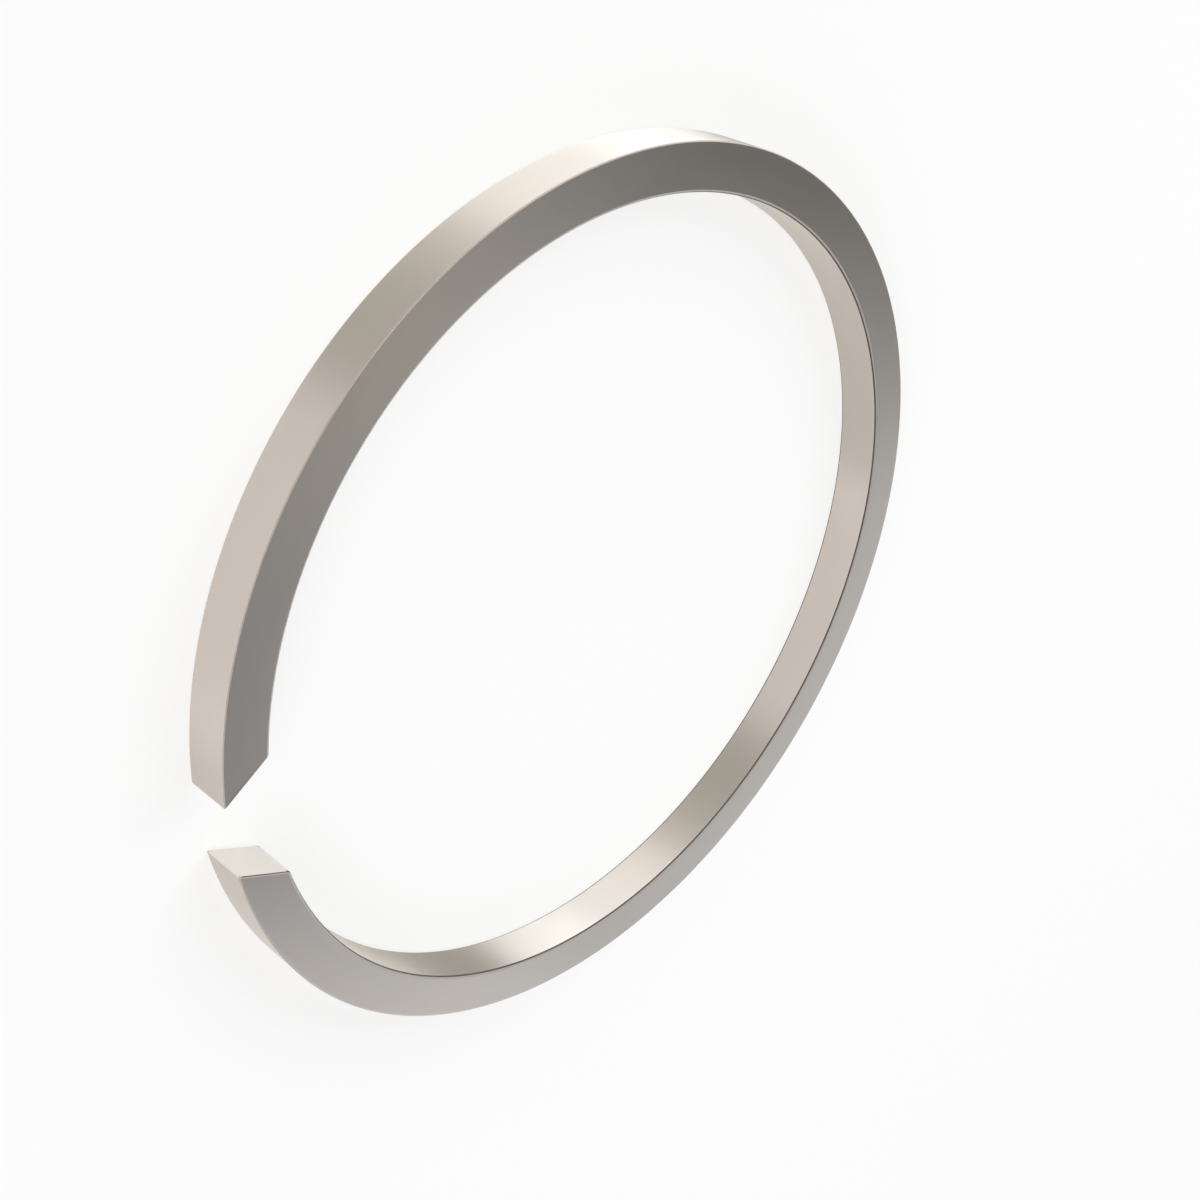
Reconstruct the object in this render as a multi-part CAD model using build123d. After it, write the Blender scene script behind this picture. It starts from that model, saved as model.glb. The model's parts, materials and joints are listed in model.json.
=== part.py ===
from build123d import *
from math import cos, radians, sqrt, tan
import os

# Snap ring for a groove in a bore. It is one length of near-square spring
# steel wire, coiled to an open ring and cut off at a slant at both ends.
#
# The ring lies flat, as it comes to rest. The origin is the ring's centre on
# its lower face, +Z is the ring's axis and +X points through the gap.
# Lengths are in millimetres and angles in degrees.

# The free ring, before it is squeezed into its groove
outer_diameter = 60.0
radial_width = 3.0
thickness = 3.2

# The gap is measured between the outer corners of the two ends. Each cut
# leans away from the gap's centre line, so the gap widens inwards and a
# pointed tool can lift an end from inside the bore.
end_gap = 5.0
end_slant = 30.0

# The wire's long corners are rounder on the inside of the ring, and a small
# bevel takes the burr off both cut ends.
outer_corner_radius = 0.1
inner_corner_radius = 0.2
end_bevel = 0.1

outer_radius = outer_diameter / 2


def wire_section():
    """Section of the wire, standing in the XZ plane on the ring's lower face."""
    with BuildSketch(Plane.XZ) as section:
        with Locations((outer_radius, 0)):
            Rectangle(radial_width, thickness, align=(Align.MAX, Align.MIN))
    return section.sketch


def gap_outline():
    """Outline of the space between the ends, seen from above.

    Its slanted sides pass through the outer corners of the ends. It runs on
    a little outside the ring, and well past the wire on the inside.
    """
    slant = radians(end_slant)
    corner_y = end_gap / 2
    corner_x = sqrt(outer_radius**2 - corner_y**2)
    outside_x = corner_x + corner_y * cos(slant)
    inside_x = corner_x - 2 * radial_width

    def side_y(x):
        return corner_y + (corner_x - x) * tan(slant)

    with BuildSketch(Plane.XY) as outline:
        with BuildLine():
            Polyline(
                (outside_x, side_y(outside_x)),
                (inside_x, side_y(inside_x)),
                (inside_x, -side_y(inside_x)),
                (outside_x, -side_y(outside_x)),
                close=True,
            )
        make_face()
    return outline.sketch


def long_edges(part):
    """The ring's edges along the wire, in groups from the inside outwards."""
    return part.edges().filter_by(GeomType.CIRCLE).group_by(SortBy.RADIUS)


def snap_ring():
    """The wire section turned about the axis, with the gap cut out of it."""
    with BuildPart() as ring:
        add(wire_section())
        revolve(axis=Axis.Z)
        add(gap_outline())
        extrude(amount=2 * thickness, both=True, mode=Mode.SUBTRACT)
        cut_faces = ring.faces().filter_by(GeomType.PLANE).filter_by(Axis.Z, reverse=True)
        chamfer(cut_faces.edges(), end_bevel)
        fillet(long_edges(ring)[0], inner_corner_radius)
        fillet(long_edges(ring)[-1], outer_corner_radius)
    return ring.part


os.makedirs("parts", exist_ok=True)
ring = snap_ring()
export_step(ring, "parts/snap_ring.step")
print("snap_ring:", round(ring.volume, 1), "mm3,", ring.bounding_box().size)
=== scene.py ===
# %% [markdown]
# A snap ring is one length of hard spring wire, drawn to a near-square section, coiled to an open ring and
# cut off at a slant at both ends. It springs into a groove and holds a bearing or a gear in its housing.
# This lesson rebuilds it the way it is made: a section, a straight wire, a bend, then the steel's finish.
# The CAD model comes in first. It is the frame that says how large the ring is and where it lies, so
# nothing here is placed by eye.

# %% Load the frame
import json
from math import cos, pi, radians, sin, tan

import bpy
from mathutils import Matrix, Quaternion, Vector


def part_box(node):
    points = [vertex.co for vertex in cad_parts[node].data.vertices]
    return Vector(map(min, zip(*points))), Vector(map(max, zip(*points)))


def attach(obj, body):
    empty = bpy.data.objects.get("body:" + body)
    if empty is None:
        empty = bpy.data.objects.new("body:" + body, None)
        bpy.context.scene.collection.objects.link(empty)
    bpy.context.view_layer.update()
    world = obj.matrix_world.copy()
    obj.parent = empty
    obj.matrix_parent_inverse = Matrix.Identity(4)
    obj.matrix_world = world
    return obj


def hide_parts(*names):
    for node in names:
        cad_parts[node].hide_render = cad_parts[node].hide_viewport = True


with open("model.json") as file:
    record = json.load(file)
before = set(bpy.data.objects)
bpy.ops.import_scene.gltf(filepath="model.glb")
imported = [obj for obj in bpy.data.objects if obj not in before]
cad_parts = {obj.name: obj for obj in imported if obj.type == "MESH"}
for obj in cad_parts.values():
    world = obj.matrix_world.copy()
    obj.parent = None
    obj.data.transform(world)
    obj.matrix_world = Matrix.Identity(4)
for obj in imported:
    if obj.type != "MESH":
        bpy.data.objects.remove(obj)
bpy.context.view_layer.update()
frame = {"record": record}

MM = 0.001


def in_mm(metres):
    """A length as a short number of millimetres, for printing."""
    return round(metres / MM, 3)


# %% [markdown]
# The ring's main sizes are read from the frame: its two walls are mounts with radii, and its box gives the
# thickness. The gap, the slant of the cuts and the broken edges are not among the mounts, so they are
# written here as real sizes, the same as those of the CAD model.

# %% Sizes of the ring


def mount_radius(name):
    """Radius of one of the ring's walls, in metres."""
    mount = next(item for item in frame["record"]["mounts"] if item["name"] == name)
    return mount["dims"]["r_mm"] * MM


low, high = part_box("snap_ring")
OUTER_RADIUS = mount_radius("outer_wall")
INNER_RADIUS = mount_radius("inner_wall")
THICKNESS = high.z - low.z
END_GAP = 5.0 * MM
END_SLANT = radians(30)
OUTER_CORNER = 0.1 * MM
INNER_CORNER = 0.2 * MM
END_BEVEL = 0.1 * MM
print("radii in mm:", in_mm(OUTER_RADIUS), in_mm(INNER_RADIUS), "thickness:", in_mm(THICKNESS))

# %% [markdown]
# Node trees are easier to read when one short call adds a node, sets its options and fills its inputs. A
# number goes into the socket itself. A socket of another node is linked instead. The same helpers serve
# the shape's tree and the materials' trees.

# %% Helpers for node trees


def add_node(tree, kind, inputs=None, **options):
    """A new node with its options set and its inputs filled or linked."""
    node = tree.nodes.new(kind)
    for name, value in options.items():
        setattr(node, name, value)
    for socket, value in (inputs or {}).items():
        if isinstance(value, bpy.types.NodeSocket):
            tree.links.new(value, node.inputs[socket])
        else:
            node.inputs[socket].default_value = value
    return node


def calc(tree, operation, *values, clamp=False):
    """The result of a Math node."""
    inputs = dict(enumerate(values))
    return add_node(tree, "ShaderNodeMath", inputs, operation=operation, use_clamp=clamp).outputs[0]


def vector_calc(tree, operation, *values):
    """The result of a Vector Math node, a number for a length or a dot product."""
    inputs = dict(enumerate(values))
    result = "Value" if operation in ("LENGTH", "DOT_PRODUCT") else "Vector"
    return add_node(tree, "ShaderNodeVectorMath", inputs, operation=operation).outputs[result]


def split(tree, vector):
    """The X, Y and Z of a vector, as sockets."""
    return add_node(tree, "ShaderNodeSeparateXYZ", {0: vector}).outputs


def join(tree, x, y, z):
    """A vector made of three numbers or sockets."""
    return add_node(tree, "ShaderNodeCombineXYZ", {"X": x, "Y": y, "Z": z}).outputs[0]


# %% [markdown]
# The ring is one steel with four surfaces. The flat faces were ground, the walls were drawn through a die,
# the ends were cut, and the edges were broken by tumbling. Each gets its own material further down. They
# are created empty here, because the shape's tree hands them out face by face.

# %% Name the four finishes
FINISHES = {}
for name in ("broken_edge", "ground_face", "drawn_wall", "cut_end"):
    finish = bpy.data.materials.new(name)
    finish.use_nodes = True
    finish.node_tree.nodes.clear()
    FINISHES[name] = finish
print("finishes:", list(FINISHES))

# %% [markdown]
# The ring's shape follows a rule, so a Geometry Nodes tree makes it and every size is a named input. A
# torus or a screwed circle would give a round wire or straight cut ends. Bending a straight wire, as the
# maker does, gives both the square section and the slanted ends. The first cell of the tree only lists
# the inputs and their sizes.

# %% Inputs of the wire tree
wire = bpy.data.node_groups.new("bent_wire", "GeometryNodeTree")
wire.interface.new_socket("Geometry", in_out="OUTPUT", socket_type="NodeSocketGeometry")

WIRE_SIZES = {
    "Outer radius": OUTER_RADIUS,
    "Radial width": OUTER_RADIUS - INNER_RADIUS,
    "Thickness": THICKNESS,
    "End gap": END_GAP,
    "End slant": END_SLANT,
    "Outer corner": OUTER_CORNER,
    "Inner corner": INNER_CORNER,
    "End bevel": END_BEVEL,
}
WIRE_COUNTS = {"Stations": 723, "Corner points": 6}

for name in WIRE_SIZES:
    wire.interface.new_socket(name, in_out="INPUT", socket_type="NodeSocketFloat")
for name in WIRE_COUNTS:
    wire.interface.new_socket(name, in_out="INPUT", socket_type="NodeSocketInt")
size = add_node(wire, "NodeGroupInput").outputs
print("inputs:", [socket.name for socket in size if socket.name])

# %% [markdown]
# The section is a rectangle with rounded corners. Fillet Curve takes its radius point by point, so the two
# corners on the inside of the ring, at negative X, can be rounder than the two on the outside.

# %% Section of the wire
section_box = add_node(
    wire,
    "GeometryNodeCurvePrimitiveQuadrilateral",
    {"Width": size["Radial width"], "Height": size["Thickness"]},
    mode="RECTANGLE",
)
corner_place = split(wire, add_node(wire, "GeometryNodeInputPosition").outputs[0])
corner_size = add_node(
    wire,
    "GeometryNodeSwitch",
    {
        "Switch": calc(wire, "LESS_THAN", corner_place["X"], 0.0),
        "False": size["Outer corner"],
        "True": size["Inner corner"],
    },
    input_type="FLOAT",
)
section = add_node(
    wire,
    "GeometryNodeFilletCurve",
    {
        "Curve": section_box.outputs["Curve"],
        "Count": size["Corner points"],
        "Radius": corner_size.outputs[0],
    },
    mode="POLY",
).outputs["Curve"]
print("section in mm:", in_mm(WIRE_SIZES["Radial width"]), "by", in_mm(WIRE_SIZES["Thickness"]))

# %% [markdown]
# The straight wire is one unit long, from 0 to 1, which later becomes the way round the ring. Its stations
# are even, apart from the first and the last, which stand only a bevel's width from their neighbours. So
# 723 stations give two short steps and 720 even ones of about half a degree, too fine to show as facets.

# %% Straight wire
station = add_node(wire, "GeometryNodeInputIndex").outputs[0]
last_station = calc(wire, "SUBTRACT", size["Stations"], 1.0)
turn_length = calc(wire, "MULTIPLY", size["Outer radius"], 2 * pi)
bevel_share = calc(wire, "DIVIDE", size["End bevel"], turn_length)
even_steps = calc(wire, "SUBTRACT", last_station, 2.0)
even_share = calc(wire, "DIVIDE", calc(wire, "SUBTRACT", station, 1.0), even_steps)
plain_length = calc(wire, "SUBTRACT", 1.0, calc(wire, "MULTIPLY", bevel_share, 2.0))
way_along = calc(wire, "ADD", bevel_share, calc(wire, "MULTIPLY", even_share, plain_length), clamp=True)

wire_line = add_node(wire, "GeometryNodeCurvePrimitiveLine", {"Start": (0, 0, 0), "End": (0, 0, 1)})
stations = add_node(
    wire,
    "GeometryNodeResampleCurve",
    {"Curve": wire_line.outputs["Curve"], "Count": size["Stations"]},
    mode="COUNT",
)
spaced = add_node(
    wire,
    "GeometryNodeSetPosition",
    {"Geometry": stations.outputs["Curve"], "Position": join(wire, 0.0, 0.0, way_along)},
)
print("stations:", WIRE_COUNTS["Stations"])

# %% [markdown]
# A file takes the burr off both cut ends and leaves a narrow bevel. Drawing the section a little smaller at
# the first and the last station makes it, with no Bevel modifier that would catch the long corners too.

# %% Bevel of the ends
at_start = calc(wire, "LESS_THAN", station, 1.0)
at_end = calc(wire, "GREATER_THAN", station, calc(wire, "SUBTRACT", last_station, 1.0))
bevel_both_sides = calc(wire, "MULTIPLY", size["End bevel"], 2.0)
shrink = calc(wire, "DIVIDE", bevel_both_sides, size["Radial width"])
at_tip = calc(wire, "ADD", at_start, at_end)
section_scale = calc(wire, "SUBTRACT", 1.0, calc(wire, "MULTIPLY", at_tip, shrink))
straight_wire = add_node(
    wire,
    "GeometryNodeCurveToMesh",
    {
        "Curve": spaced.outputs["Geometry"],
        "Profile Curve": section,
        "Scale": section_scale,
        "Fill Caps": True,
    },
)
print("bevel in mm:", in_mm(WIRE_SIZES["End bevel"]))

# %% [markdown]
# Now the bend. A point's X is its place across the wire and becomes a radius, Y becomes a height, and Z
# becomes an angle round the ring. A slanted cut is a straight line that misses the ring's axis, and such a
# line crosses each radius at its own angle, asin(distance / radius) less the slant. Every point starts
# from that angle, so the ends come out flat and slanted whatever the sizes are.

# %% Bend the wire to a ring
flat = split(wire, add_node(wire, "GeometryNodeInputPosition").outputs[0])
half_width = calc(wire, "MULTIPLY", size["Radial width"], 0.5)
mid_radius = calc(wire, "SUBTRACT", size["Outer radius"], half_width)
radius = calc(wire, "ADD", mid_radius, flat["X"])
height = calc(wire, "ADD", calc(wire, "MULTIPLY", size["Thickness"], 0.5), flat["Y"])

corner_y = calc(wire, "MULTIPLY", size["End gap"], 0.5)
radius_squared = calc(wire, "POWER", size["Outer radius"], 2.0)
corner_x = calc(wire, "SQRT", calc(wire, "SUBTRACT", radius_squared, calc(wire, "POWER", corner_y, 2.0)))
cut_distance = calc(
    wire,
    "ADD",
    calc(wire, "MULTIPLY", corner_x, calc(wire, "SINE", size["End slant"])),
    calc(wire, "MULTIPLY", corner_y, calc(wire, "COSINE", size["End slant"])),
)
crossing = calc(wire, "ARCSINE", calc(wire, "DIVIDE", cut_distance, radius))
cut_angle = calc(wire, "SUBTRACT", crossing, size["End slant"])
whole_turn = calc(wire, "SUBTRACT", 2 * pi, calc(wire, "MULTIPLY", cut_angle, 2.0))
turned = calc(wire, "ADD", cut_angle, calc(wire, "MULTIPLY", flat["Z"], whole_turn))
angle = calc(wire, "MULTIPLY", turned, -1.0)
bent_x = calc(wire, "MULTIPLY", radius, calc(wire, "COSINE", angle))
bent_y = calc(wire, "MULTIPLY", radius, calc(wire, "SINE", angle))
bent = add_node(
    wire,
    "GeometryNodeSetPosition",
    {"Geometry": straight_wire.outputs["Mesh"], "Position": join(wire, bent_x, bent_y, height)},
)
print("nodes up to the bend:", len(wire.nodes))

# %% [markdown]
# Shading has to be smooth along the wire and crisp at the bevels of its ends. Edges that turn by more than
# a set angle are marked sharp. The rounded long corners turn in small steps and stay smooth.

# %% Smooth walls and crisp ends
CRISP_ANGLE = radians(30)
smooth = add_node(
    wire, "GeometryNodeSetShadeSmooth", {"Geometry": bent.outputs["Geometry"]}, domain="FACE"
)
edge_angle = add_node(wire, "GeometryNodeInputMeshEdgeAngle").outputs["Unsigned Angle"]
crisp = add_node(
    wire,
    "GeometryNodeSetShadeSmooth",
    {
        "Geometry": smooth.outputs["Geometry"],
        "Selection": calc(wire, "GREATER_THAN", edge_angle, CRISP_ANGLE),
        "Shade Smooth": False,
    },
    domain="EDGE",
)
print("crisp above", round(CRISP_ANGLE, 3), "radians")

# %% [markdown]
# Which finish a face gets depends on where it looks: how much up or down, how much out or in, and how much
# along the wire. The cell measures the three for each face, as shares from 0 to 1, and counts its corners.

# %% Measure where each face looks
normal = add_node(wire, "GeometryNodeInputNormal").outputs[0]
face_place = add_node(wire, "GeometryNodeInputPosition").outputs[0]
out_way = vector_calc(wire, "NORMALIZE", vector_calc(wire, "MULTIPLY", face_place, (1, 1, 0)))
round_way = vector_calc(wire, "CROSS_PRODUCT", (0, 0, 1), out_way)
up_share = calc(wire, "ABSOLUTE", vector_calc(wire, "DOT_PRODUCT", normal, (0, 0, 1)))
out_share = calc(wire, "ABSOLUTE", vector_calc(wire, "DOT_PRODUCT", normal, out_way))
round_share = calc(wire, "ABSOLUTE", vector_calc(wire, "DOT_PRODUCT", normal, round_way))
corner_count = add_node(wire, "GeometryNodeInputMeshFaceNeighbors").outputs["Vertex Count"]
print("nodes up to the measures:", len(wire.nodes))

# %% [markdown]
# Every face starts as a broken edge. Those that look straight up or down were ground, and those that look
# straight out or in are the drawn walls. The ends are cut: the caps, the only faces with more than four
# corners, and the level bevels beside them. The tree ends with Realize Instances, so that nothing in it is
# left as an instance.

# %% Hand out the finishes
STRAIGHT = 0.99
SLIGHT = 0.1
FOUR_CORNERS = 4.0
level = calc(wire, "LESS_THAN", up_share, SLIGHT)
on_the_tip = calc(wire, "GREATER_THAN", round_share, SLIGHT)
FINISH_RULES = (
    ("broken_edge", True),
    ("ground_face", calc(wire, "GREATER_THAN", up_share, STRAIGHT)),
    ("drawn_wall", calc(wire, "GREATER_THAN", out_share, STRAIGHT)),
    ("cut_end", calc(wire, "MULTIPLY", level, on_the_tip)),
    ("cut_end", calc(wire, "GREATER_THAN", corner_count, FOUR_CORNERS)),
)
painted = crisp.outputs["Geometry"]
for name, chosen in FINISH_RULES:
    inputs = {"Geometry": painted, "Selection": chosen, "Material": FINISHES[name]}
    painted = add_node(wire, "GeometryNodeSetMaterial", inputs).outputs["Geometry"]
realized = add_node(wire, "GeometryNodeRealizeInstances", {"Geometry": painted})
add_node(wire, "NodeGroupOutput", {"Geometry": realized.outputs["Geometry"]})
print("nodes in the wire tree:", len(wire.nodes))

# %% [markdown]
# The tree is put on an empty mesh, its inputs are filled by their identifiers, and the result is kept as a
# plain mesh. A Weighted Normal modifier comes after the tree. It lets the wide faces decide how their edges
# are shaded, so that a flat face stays flat right up to its rounded corners.

# %% Make the ring's mesh


def make_ring():
    """The finished ring as an object with a plain mesh."""
    carrier = bpy.data.objects.new("wire_carrier", bpy.data.meshes.new("wire_carrier"))
    bpy.context.scene.collection.objects.link(carrier)
    bend = carrier.modifiers.new("bend", "NODES")
    bend.node_group = wire
    socket_ids = {item.name: item.identifier for item in wire.interface.items_tree}
    for name, value in {**WIRE_SIZES, **WIRE_COUNTS}.items():
        bend[socket_ids[name]] = value
    weighted = carrier.modifiers.new("weighted", "WEIGHTED_NORMAL")
    weighted.keep_sharp = True
    evaluated = carrier.evaluated_get(bpy.context.evaluated_depsgraph_get())
    mesh = bpy.data.meshes.new_from_object(evaluated)
    bpy.data.objects.remove(carrier)
    mesh.name = "snap_ring_steel"
    ring = bpy.data.objects.new("snap_ring_steel", mesh)
    bpy.context.scene.collection.objects.link(ring)
    return ring


ring = make_ring()
print("ring:", len(ring.data.vertices), "vertices,", len(ring.data.polygons), "faces")
print("finishes on it:", [slot.material.name for slot in ring.material_slots])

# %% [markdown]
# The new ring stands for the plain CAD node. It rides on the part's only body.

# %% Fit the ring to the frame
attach(ring, "root")
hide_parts("snap_ring")
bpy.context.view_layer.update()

# %% [markdown]
# The marks of drawing, grinding and wear all follow the wire, so they are drawn in ring coordinates: how
# far round, how far out and how high. The angle is turned to a length at the outer radius, and its seam is
# put where the gap is, by measuring it from the side opposite the gap.

# %% Ring coordinates for the materials


def ring_coordinates(tree):
    """Sockets for the way round the ring, the radius and the height, in metres."""
    place = add_node(tree, "ShaderNodeTexCoord").outputs["Object"]
    axis = split(tree, place)
    opposite_x = calc(tree, "MULTIPLY", axis["X"], -1.0)
    opposite_y = calc(tree, "MULTIPLY", axis["Y"], -1.0)
    around = calc(tree, "MULTIPLY", calc(tree, "ARCTAN2", opposite_y, opposite_x), OUTER_RADIUS)
    outwards = vector_calc(tree, "LENGTH", vector_calc(tree, "MULTIPLY", place, (1, 1, 0)))
    return around, outwards, axis["Z"]


# %% [markdown]
# Drawing and grinding leave fine parallel lines, and handling leaves softer patches. Both are the same
# noise, stretched along the wire by different amounts. A picture of scratches would repeat and have seams,
# and the noise has neither.

# %% Grain of the steel
GRAIN_DETAIL = 3.0
GRAIN_ROUGHNESS = 0.6


def noise(tree, place, detail=GRAIN_DETAIL):
    """Noise from 0 to 1 at a place that was stretched beforehand."""
    inputs = {"Vector": place, "Scale": 1.0, "Detail": detail, "Roughness": GRAIN_ROUGHNESS}
    return add_node(tree, "ShaderNodeTexNoise", inputs).outputs["Fac"]


def grain(tree, coordinates, length, width, detail=GRAIN_DETAIL):
    """Noise that is drawn out along the wire into lines of about that length and width."""
    around, outwards, height = coordinates
    stretched = join(
        tree,
        calc(tree, "DIVIDE", around, length),
        calc(tree, "DIVIDE", outwards, width),
        calc(tree, "DIVIDE", height, width),
    )
    return noise(tree, stretched, detail)


# %% [markdown]
# Noise becomes a finish by way of two more helpers. One turns it to a number between two limits, such as a
# roughness, and the other to a colour between two tones.

# %% Helpers for numbers and colours


def spread(tree, value, least, most):
    """A value between 0 and 1 laid between two others."""
    inputs = {"Value": value, "To Min": least, "To Max": most}
    return add_node(tree, "ShaderNodeMapRange", inputs).outputs["Result"]


def mix_colour(tree, share, first, second):
    """A colour between two others, each a colour or a socket."""
    inputs = {"Factor": share, "A": first, "B": second}
    return add_node(tree, "ShaderNodeMix", inputs, data_type="RGBA").outputs["Result"]


# %% [markdown]
# Handling and the groove's walls burnish the steel beside a ring's long edges. Near an edge both distances,
# the one to the nearest wall and the one to the nearest face, are small. The larger of the two is therefore
# the distance to the edge, and the wear needs no painted mask. Patches of noise, which are a half on
# average, make it wider here and narrower there.

# %% Wear beside the long edges
WEAR_WIDTH = 0.28 * MM
WEAR_FALLOFF = 1.5


def to_flat_face(tree, height):
    """The distance to the nearer flat face, in metres."""
    return calc(tree, "MINIMUM", height, calc(tree, "SUBTRACT", THICKNESS, height))


def edge_wear(tree, coordinates, patches):
    """1 on the long edges, fading to 0 over the width of the wear."""
    _, outwards, height = coordinates
    to_outer_wall = calc(tree, "SUBTRACT", OUTER_RADIUS, outwards)
    to_inner_wall = calc(tree, "SUBTRACT", outwards, INNER_RADIUS)
    to_wall = calc(tree, "MINIMUM", to_outer_wall, to_inner_wall)
    to_edge = calc(tree, "MAXIMUM", to_wall, to_flat_face(tree, height))
    reach = calc(tree, "MULTIPLY", patches, 2 * WEAR_WIDTH)
    bright_share = calc(tree, "SUBTRACT", 1.0, calc(tree, "DIVIDE", to_edge, reach), clamp=True)
    return calc(tree, "POWER", bright_share, WEAR_FALLOFF)


# %% [markdown]
# Every finish ends in the same way, in a metal shader. Metal only tints what it reflects, and its roughness
# says how wide the reflection is. Lines that run along the wire scatter light across them, so a lamp shows
# as a streak over the wire's width. The anisotropic setting does that. Its tangent is worked out from the
# place on the ring, so it follows the bend, and a quarter turn sets the streak across the lines.

# %% Shader of the steel
QUARTER_TURN = 0.25


def steel_shader(finish, colour, roughness, marks, depth, anisotropy=0.0):
    """Ends a finish's tree with steel whose marks are raised by a bump of that depth."""
    tree = finish.node_tree
    bump = add_node(tree, "ShaderNodeBump", {"Height": marks, "Strength": 1.0, "Distance": depth})
    inputs = {
        "Base Color": colour,
        "Metallic": 1.0,
        "Roughness": roughness,
        "Normal": bump.outputs["Normal"],
    }
    if anisotropy:
        place = add_node(tree, "ShaderNodeTexCoord").outputs["Object"]
        along_wire = vector_calc(tree, "CROSS_PRODUCT", (0, 0, 1), place)
        inputs["Anisotropic"] = anisotropy
        inputs["Anisotropic Rotation"] = QUARTER_TURN
        inputs["Tangent"] = vector_calc(tree, "NORMALIZE", along_wire)
    shader = add_node(tree, "ShaderNodeBsdfPrincipled", inputs)
    add_node(tree, "ShaderNodeOutputMaterial", {"Surface": shader.outputs[0]})
    print(finish.name, "has", len(tree.nodes), "nodes")


# %% [markdown]
# The walls and the faces are the same satin steel with lines along the wire, and differ in numbers only.
# The fine lines carry the bump and part of the roughness, and the wider patches shift the colour a little
# between two close tones.

# %% Steel with lines along the wire
BURNISHED = (0.70, 0.66, 0.61, 1)
BURNISH_SHARE = 0.2
LINE_LENGTH = 8 * MM
PATCH_LENGTH = 12 * MM
PATCH_WIDTH = 2.5 * MM
PATCH_DETAIL = 2.0


def steel_along_wire(finish, tones, roughness, anisotropy, line_width, line_depth):
    """Fills a finish with satin steel whose fine lines run along the wire."""
    tree = finish.node_tree
    coordinates = ring_coordinates(tree)
    lines = grain(tree, coordinates, LINE_LENGTH, line_width)
    patches = grain(tree, coordinates, PATCH_LENGTH, PATCH_WIDTH, PATCH_DETAIL)
    burnish = calc(tree, "MULTIPLY", edge_wear(tree, coordinates, patches), BURNISH_SHARE)
    colour = mix_colour(tree, burnish, mix_colour(tree, patches, *tones), BURNISHED)
    unevenness = calc(tree, "MULTIPLY", calc(tree, "ADD", lines, patches), 0.5)
    satin = spread(tree, unevenness, *roughness)
    steel_shader(finish, colour, satin, lines, line_depth, anisotropy)


# %% [markdown]
# A drawing die rubs the walls, and its lines are long and close. They scatter light far across the wire and
# hardly at all along it. The tone is warm, because a trace of the drawing soap stays in the lines.

# %% Drawn walls
steel_along_wire(
    FINISHES["drawn_wall"],
    tones=((0.607, 0.553, 0.475, 1), (0.637, 0.581, 0.503, 1)),
    roughness=(0.41, 0.445),
    anisotropy=1.0,
    line_width=0.06 * MM,
    line_depth=0.0004 * MM,
)

# %% [markdown]
# The flat faces were ground after coiling, to bring the ring to its thickness. That leaves them much
# smoother and less streaky than the walls, so they mirror the room where the walls blur it. Their tones are
# set a little darker than the walls', a painted shade on the flat faces.

# %% Ground faces
steel_along_wire(
    FINISHES["ground_face"],
    tones=((0.506, 0.467, 0.378, 1), (0.546, 0.503, 0.412, 1)),
    roughness=(0.30, 0.336),
    anisotropy=0.417,
    line_width=0.05 * MM,
    line_depth=0.0003 * MM,
)

# %% [markdown]
# The ends were cut last, and fresh cut steel is the brightest surface of the ring. The marks of the cut run
# level across the end, so they are thin in height and long in the other two directions.

# %% Cut ends
MARK_HEIGHT = 0.05 * MM
MARK_LENGTH = 2 * MM


def cut_steel(finish, tones, roughness, mark_depth):
    """Fills a finish with bright steel that shows the parallel marks of a cut."""
    tree = finish.node_tree
    place = add_node(tree, "ShaderNodeTexCoord").outputs["Object"]
    marks_per_metre = (1 / MARK_LENGTH, 1 / MARK_LENGTH, 1 / MARK_HEIGHT)
    marks = noise(tree, vector_calc(tree, "MULTIPLY", place, marks_per_metre))
    colour = mix_colour(tree, marks, *tones)
    steel_shader(finish, colour, spread(tree, marks, *roughness), marks, mark_depth)


cut_steel(
    FINISHES["cut_end"],
    tones=((0.77, 0.73, 0.67, 1), (0.81, 0.77, 0.71, 1)),
    roughness=(0.38, 0.46),
    mark_depth=0.0008 * MM,
)

# %% [markdown]
# Tumbling wears the outer corners bright, and grinding leaves a bright rim beside the flat faces. The rest
# of the inner corners and of the bevels is painted dark, a painted shade that draws a fine dark line along
# those edges. The colour therefore goes from that painted shade to bright with the radius and with the
# nearness of a flat face, and patches make it uneven.

# %% Broken edges
RIM_FADES_FROM = 0.03 * MM
RIM_ENDS = 0.07 * MM
WORN_FROM = OUTER_RADIUS - OUTER_CORNER
WORN_FADE = 0.2 * MM
EDGE_PATCH_LENGTH = 3 * MM
EDGE_PATCH_WIDTH = 0.5 * MM
LEAST_WORN = 0.8
MOST_WORN = 1.2


def edge_steel(finish, dark, bright, roughness, depth):
    """Fills a finish with dull steel, bright outside and beside the flat faces, with painted shade
    elsewhere.
    """
    tree = finish.node_tree
    coordinates = ring_coordinates(tree)
    _, outwards, height = coordinates
    patches = grain(tree, coordinates, EDGE_PATCH_LENGTH, EDGE_PATCH_WIDTH)
    rim_range = {"Value": to_flat_face(tree, height), "From Min": RIM_ENDS, "From Max": RIM_FADES_FROM}
    rim = add_node(tree, "ShaderNodeMapRange", rim_range).outputs["Result"]
    outside_range = {"Value": outwards, "From Min": WORN_FROM - WORN_FADE, "From Max": WORN_FROM}
    outside = add_node(tree, "ShaderNodeMapRange", outside_range).outputs["Result"]
    unevenness = spread(tree, patches, LEAST_WORN, MOST_WORN)
    bright_share = calc(tree, "MULTIPLY", calc(tree, "MAXIMUM", rim, outside), unevenness)
    colour = mix_colour(tree, bright_share, dark, bright)
    steel_shader(finish, colour, spread(tree, patches, *roughness), patches, depth)


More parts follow.
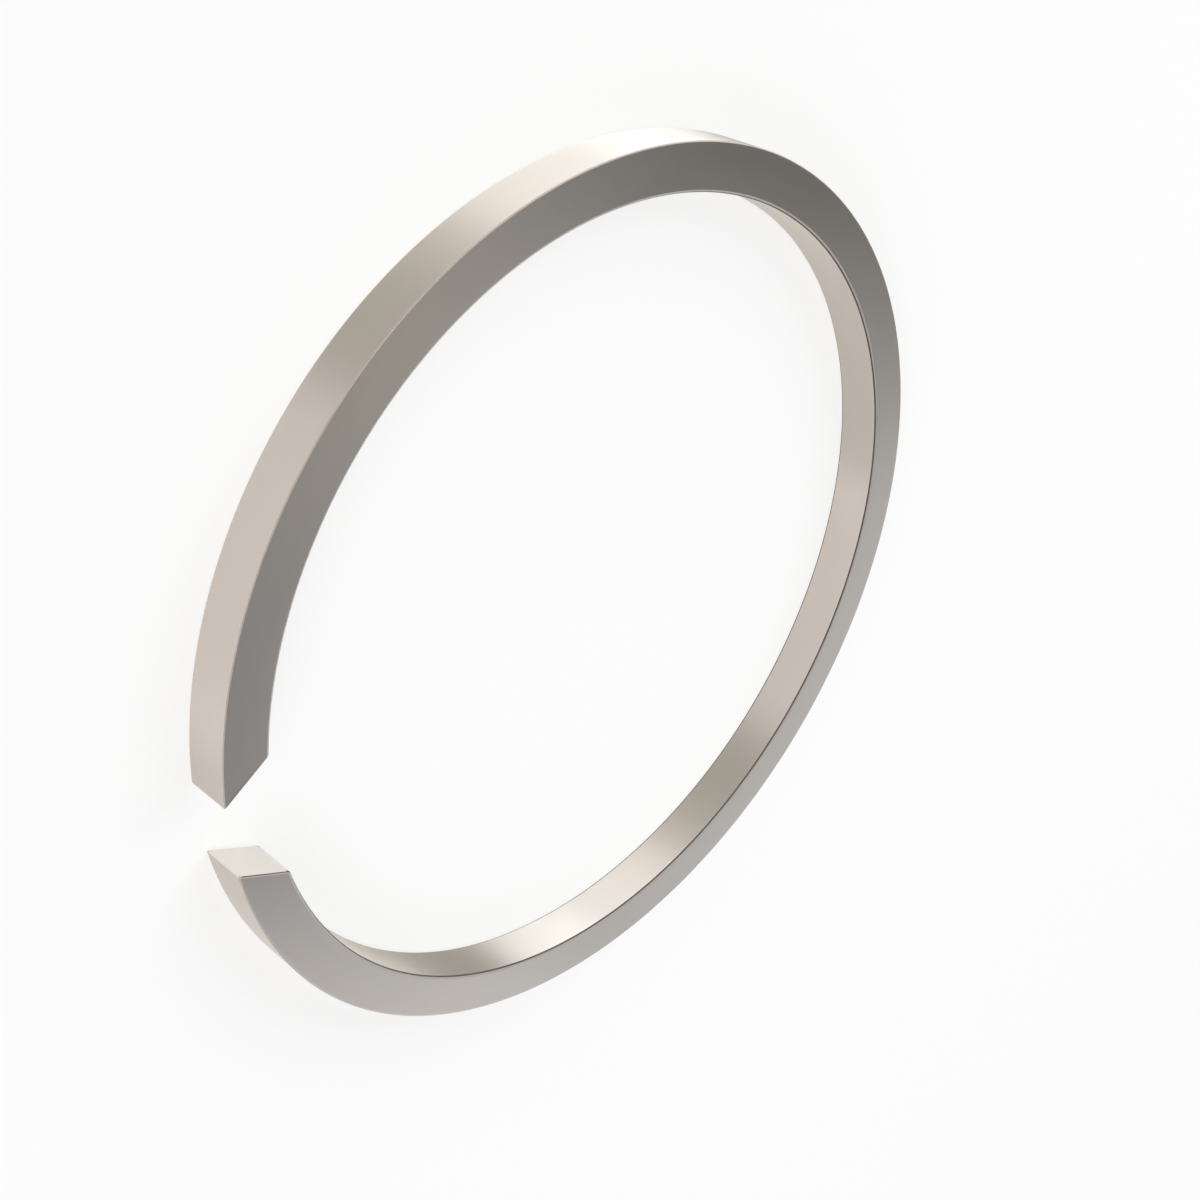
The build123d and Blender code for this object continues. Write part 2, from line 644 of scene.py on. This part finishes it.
# The dark tone is painted shade along the inner corners and the bevels.
edge_steel(
    FINISHES["broken_edge"],
    dark=(0.16, 0.14, 0.12, 1),
    bright=(0.58, 0.525, 0.46, 1),
    roughness=(0.85, 0.95),
    depth=0.0006 * MM,
)

# %% [markdown]
# A pale sheet of paper carries the ring, as in a small studio. Paper under soft lamps comes out light grey
# and not white. Where the picture or the steel sees the sheet, part of it is therefore a plain white glow,
# and the rest stays paper and keeps the ring's shadow. Light Path tells which rays only look at the sheet.
# The paper is a little warm, so that it looks neutral under lamps that are a little blue.

# %% Floor
FLOOR_HALF = 0.4
PAPER = (0.82, 0.81, 0.73, 1)
PAPER_ROUGHNESS = 0.5
WHITE = (1, 1, 1, 1)
WHITE_SHARE = 0.75


def white_paper():
    """Paper that looks white, and that still takes a shadow."""
    paper = bpy.data.materials.new("white_paper")
    paper.use_nodes = True
    tree = paper.node_tree
    tree.nodes.clear()
    rays = add_node(tree, "ShaderNodeLightPath").outputs
    in_steel_or_glass = calc(tree, "MAXIMUM", rays["Is Glossy Ray"], rays["Is Transmission Ray"])
    seen = calc(tree, "MAXIMUM", rays["Is Camera Ray"], in_steel_or_glass)
    sheet = add_node(tree, "ShaderNodeBsdfDiffuse", {"Color": PAPER, "Roughness": PAPER_ROUGHNESS})
    white = add_node(tree, "ShaderNodeEmission", {"Color": WHITE, "Strength": 1.0})
    lift = calc(tree, "MULTIPLY", seen, WHITE_SHARE)
    both = add_node(tree, "ShaderNodeMixShader", {0: lift, 1: sheet.outputs[0], 2: white.outputs[0]})
    add_node(tree, "ShaderNodeOutputMaterial", {"Surface": both.outputs[0]})
    return paper


floor_mesh = bpy.data.meshes.new("paper_floor")
floor_corners = [(x * FLOOR_HALF, y * FLOOR_HALF, 0) for x, y in ((-1, -1), (1, -1), (1, 1), (-1, 1))]
floor_mesh.from_pydata(floor_corners, [], [(0, 1, 2, 3)])
floor_mesh.materials.append(white_paper())
floor = bpy.data.objects.new("paper_floor", floor_mesh)
bpy.context.scene.collection.objects.link(floor)
print("floor:", 2 * FLOOR_HALF, "m square")

# %% [markdown]
# Polished metal shows its lamps more than it shows itself, so each softbox is placed by what it paints on
# the ring. A point lamp would give hard glints. A wide flat lamp gives a soft patch with clear borders, and
# the steel's lines draw that patch out over the wire. The helper takes a lamp's direction, the angles that
# it fills as seen from the ring, and how bright it looks. That brightness times pi times the area is its
# power in watts. The camera does not see the softboxes themselves.

# %% Softbox helper
LAMP_DISTANCE = 0.5
RING_CENTRE = Vector((0, 0, THICKNESS / 2))


def direction(azimuth, elevation):
    """The unit vector that points from the ring to a place, with angles in degrees."""
    turn, rise = radians(azimuth), radians(elevation)
    return Vector((cos(rise) * cos(turn), cos(rise) * sin(turn), sin(rise)))


def softbox(name, azimuth, elevation, wide, high, brightness, colour=(1, 1, 1)):
    """A flat lamp that faces the ring and fills the given angles, in degrees."""
    way = direction(azimuth, elevation)
    lamp = bpy.data.lights.new(name, "AREA")
    lamp.shape = "RECTANGLE"
    lamp.size = 2 * LAMP_DISTANCE * tan(radians(wide / 2))
    lamp.size_y = 2 * LAMP_DISTANCE * tan(radians(high / 2))
    lamp.energy = brightness * pi * lamp.size * lamp.size_y
    lamp.color = colour
    box = bpy.data.objects.new(name, lamp)
    box.location = RING_CENTRE + way * LAMP_DISTANCE
    box.rotation_mode = "QUATERNION"
    box.rotation_quaternion = (-way).to_track_quat("-Z", "Y")
    box.visible_camera = False
    bpy.context.scene.collection.objects.link(box)
    print(name, "fills", wide, "by", high, "degrees with", round(lamp.energy, 2), "W")


# %% [markdown]
# The key is the brightest lamp. It makes the white patch on the outer wall and its twin on the inner wall.
# The key's fill is a dimmer box beside it, and makes the soft side of that patch. One even box as wide as
# both would give the patch two hard sides.

# %% Key and its fill
softbox(
    "key", azimuth=-145.5, elevation=27.3, wide=29.8, high=51.6,
    brightness=4.85, colour=(0.794, 0.873, 1),
)
softbox(
    "key_fill", azimuth=-113.5, elevation=31.5, wide=26.1, high=54.7,
    brightness=2.79, colour=(0.911, 0.925, 1),
)

# %% [markdown]
# The two side lamps light the rest of the walls, and the second one also lights a stretch of the flat face.
# The first keeps its distance from the key's fill, because the walls mirror the gap between the two as a
# darker band.

# %% Side lamps
softbox(
    "side_right", azimuth=-15.5, elevation=36.9, wide=70.1, high=27.1,
    brightness=3.44, colour=(0.89, 0.866, 1),
)
softbox(
    "side_left", azimuth=66.1, elevation=31.6, wide=90, high=32,
    brightness=1.35, colour=(0.827, 0.844, 1),
)

# %% [markdown]
# The back lamp lies where the flat face mirrors the room to the camera, and its border is the fade across
# that face. A warm lamp high above it lifts the stretch of that face that is nearest to the camera, and a
# low strip under both lights the inner wall beside one end.

# %% Lamps at the back
softbox(
    "back", azimuth=133.6, elevation=26.8, wide=29.1, high=50.8,
    brightness=0.7, colour=(0.766, 0.811, 1),
)
softbox(
    "high_back", azimuth=153.9, elevation=65.4, wide=18.2, high=15.2,
    brightness=1.16, colour=(1, 0.85, 0.7),
)
softbox(
    "low_strip", azimuth=146, elevation=4.1, wide=57.6, high=5.2,
    brightness=3.92, colour=(0.83, 0.902, 1),
)

# %% [markdown]
# To a camera that looks straight down, the flat face mirrors what is right above it, and that is a black
# ceiling. The overhead lamp makes the face grey in such a view, and hardly shows in the others.

# %% Overhead lamp
softbox("overhead", azimuth=0, elevation=90, wide=26, high=26, brightness=0.75)

# %% [markdown]
# Around the floor the room has pale walls, up to a set height, and a black ceiling above. The walls and the
# floor give the steel its even grey, and low views have the walls as their background. The dark stretch of
# the flat face mirrors the ceiling. In the world's tree, Generated is the direction of view, and its Z says
# how steep it is.

# %% Walls and ceiling of the room
WALLS_END = radians(19.8)
CEILING_STARTS = radians(27.8)

room = bpy.data.worlds.new("studio_room")
room.use_nodes = True
bpy.context.scene.world = room
room_tree = room.node_tree
room_tree.nodes.clear()
look = add_node(room_tree, "ShaderNodeTexCoord").outputs["Generated"]
steepness = split(room_tree, look)["Z"]
fade_range = {"Value": steepness, "From Min": sin(WALLS_END), "From Max": sin(CEILING_STARTS)}
fade = add_node(room_tree, "ShaderNodeMapRange", fade_range).outputs["Result"]
print("walls fade to the ceiling from Z", round(sin(WALLS_END), 3), "to", round(sin(CEILING_STARTS), 3))

# %% [markdown]
# A black card on the walls, next to the key, puts a dark band beside the white patch of the inner wall. A
# photographer keeps such a card out of the picture, so here the camera does not see it and the steel does.
# The cosine between a direction and the card's middle says how near the two are.

# %% Black card
CARD_AZIMUTH = 188.1
CARD_HALF = radians(12.5)
CARD_BLUR = radians(1.4)

level_look = vector_calc(room_tree, "NORMALIZE", vector_calc(room_tree, "MULTIPLY", look, (1, 1, 0)))
nearness = vector_calc(room_tree, "DOT_PRODUCT", level_look, direction(CARD_AZIMUTH, 0))
card_starts = cos(CARD_HALF + CARD_BLUR)
card_full = cos(CARD_HALF - CARD_BLUR)
card_range = {"Value": nearness, "From Min": card_starts, "From Max": card_full}
card = add_node(room_tree, "ShaderNodeMapRange", card_range).outputs["Result"]
seen_by_camera = add_node(room_tree, "ShaderNodeLightPath").outputs["Is Camera Ray"]
hidden_card = calc(room_tree, "MULTIPLY", card, calc(room_tree, "SUBTRACT", 1.0, seen_by_camera))
print("card from cosine", round(card_starts, 4), "and full at", round(card_full, 4))

# %% [markdown]
# The walls, the card and the ceiling are only colours of one world, laid over each other by the two masks
# above. Real walls would need a mesh and would shade the floor.

# %% Colours of the room
PALE_WALLS = (0.94, 0.94, 0.94, 1)
BLACK_CEILING = (0.01, 0.005, 0.0, 1)
BLACK_CARD = (0.056, 0.056, 0.056, 1)

walls_colour = mix_colour(room_tree, hidden_card, PALE_WALLS, BLACK_CARD)
room_colour = mix_colour(room_tree, fade, walls_colour, BLACK_CEILING)
background = add_node(room_tree, "ShaderNodeBackground", {"Color": room_colour, "Strength": 1.0})
add_node(room_tree, "ShaderNodeOutputWorld", {"Surface": background.outputs[0]})
print("room nodes:", len(room_tree.nodes))

# %% [markdown]
# The photo shows the ring standing on edge, but a ring lies down when it is let go. So the ring lies on the
# floor, and the camera looks down on it and is rolled until the picture is the photo's. A quaternion turns
# the camera to the ring first, and the roll about its own line of sight follows.

# %% Camera
CAMERA_DISTANCE = 108.46 * MM
CAMERA_AZIMUTH = -45.80
CAMERA_ELEVATION = 35.67
CAMERA_ROLL = radians(119.48)
LENS_IN_MM = 50
SENSOR_IN_MM = 36

camera_data = bpy.data.cameras.new("camera")
camera_data.lens = LENS_IN_MM
camera_data.sensor_width = SENSOR_IN_MM
camera_data.clip_start = 1 * MM
camera = bpy.data.objects.new("camera", camera_data)
to_camera = direction(CAMERA_AZIMUTH, CAMERA_ELEVATION)
camera.location = RING_CENTRE + to_camera * CAMERA_DISTANCE
camera.rotation_mode = "QUATERNION"
camera.rotation_quaternion = (-to_camera).to_track_quat("-Z", "Y") @ Quaternion((0, 0, 1), CAMERA_ROLL)
bpy.context.scene.collection.objects.link(camera)
bpy.context.scene.camera = camera
print("camera in mm:", [in_mm(value) for value in camera.location])

# %% [markdown]
# The Standard view shows colours as they are written, with no film curve. The CAD model stays in the
# scene, hidden, beside the finished ring.

# %% Finish
bpy.context.scene.view_settings.view_transform = "Standard"
